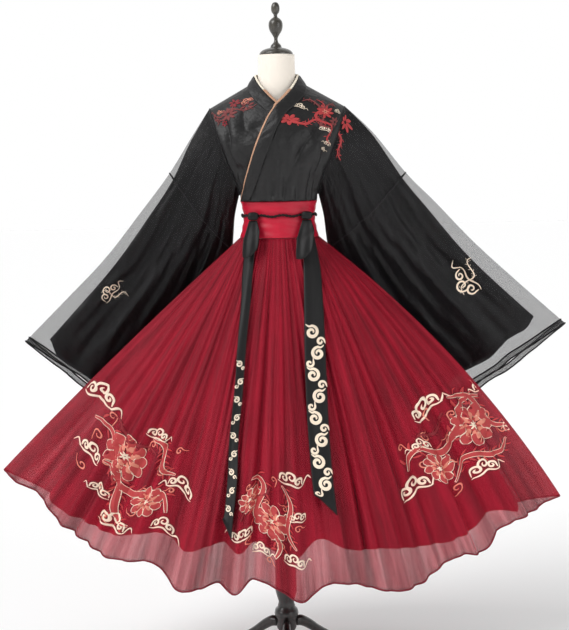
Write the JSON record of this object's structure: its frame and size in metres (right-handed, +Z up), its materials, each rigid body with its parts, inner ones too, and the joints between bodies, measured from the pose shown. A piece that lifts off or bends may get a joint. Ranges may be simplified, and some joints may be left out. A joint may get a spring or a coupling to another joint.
{
  "type": "hanfu dress on a dress form",
  "caption": "Wide-sleeved hanfu dress with a crossed collar, a red waistband with ribbon ties and a gathered two-layer skirt, worn by a limbless dress form on a turned stand.",
  "frame": {"origin": "floor point under the stand's axis, at the middle of the part's plan", "axes": "+Z up, -Y towards the dress's front, +X towards the wearer's left"},
  "size_m": [1.6687, 0.777, 1.955],
  "materials": {
    "ivory_cotton": "matte cotton cover",
    "olive_wood": "semi-gloss varnish",
    "dark_wood": "semi-gloss varnish",
    "black_gauze": "sheer black gauze, soft",
    "black_lining": "opaque black lining",
    "red_satin": "red satin",
    "red_gauze": "sheer wine red chiffon",
    "red_lining": "opaque dark red lining",
    "cream_piping": "cream and peach edging",
    "black_cord": "black satin ribbon"
  },
  "bodies": {
    "root": {"form_torso": "ivory_cotton", "form_cap_finial": "olive_wood", "stand_column": "dark_wood", "stand_leg_front": "dark_wood", "stand_leg_left": "dark_wood", "stand_leg_right": "dark_wood", "bodice_front_under": "black_gauze", "bodice_front_over": "black_gauze", "bodice_back": "black_gauze", "collar_under": "black_gauze", "collar_over": "black_gauze", "piping_under": "cream_piping", "piping_over": "cream_piping", "waistband": "red_satin", "waist_cord": "black_cord", "overlay_front_left": "red_gauze", "overlay_front_mid": "red_gauze", "overlay_front_right": "red_gauze", "overlay_back_left": "red_gauze", "overlay_back_mid": "red_gauze", "overlay_back_right": "red_gauze", "lining_front_left": "red_lining", "lining_front_right": "red_lining", "lining_back_left": "red_lining", "lining_back_right": "red_lining", "sleeve_left_front": "black_gauze", "sleeve_left_back": "black_gauze", "sleeve_right_front": "black_gauze", "sleeve_right_back": "black_gauze", "sleeve_lining_left_front": "black_lining", "sleeve_lining_left_back": "black_lining", "sleeve_lining_right_front": "black_lining", "sleeve_lining_right_back": "black_lining", "knot_left": "black_cord", "knot_right": "black_cord", "loop_left": "black_cord", "loop_right": "black_cord", "tail_left": "black_cord", "tail_right": "black_cord"}
  },
  "joints": []
}
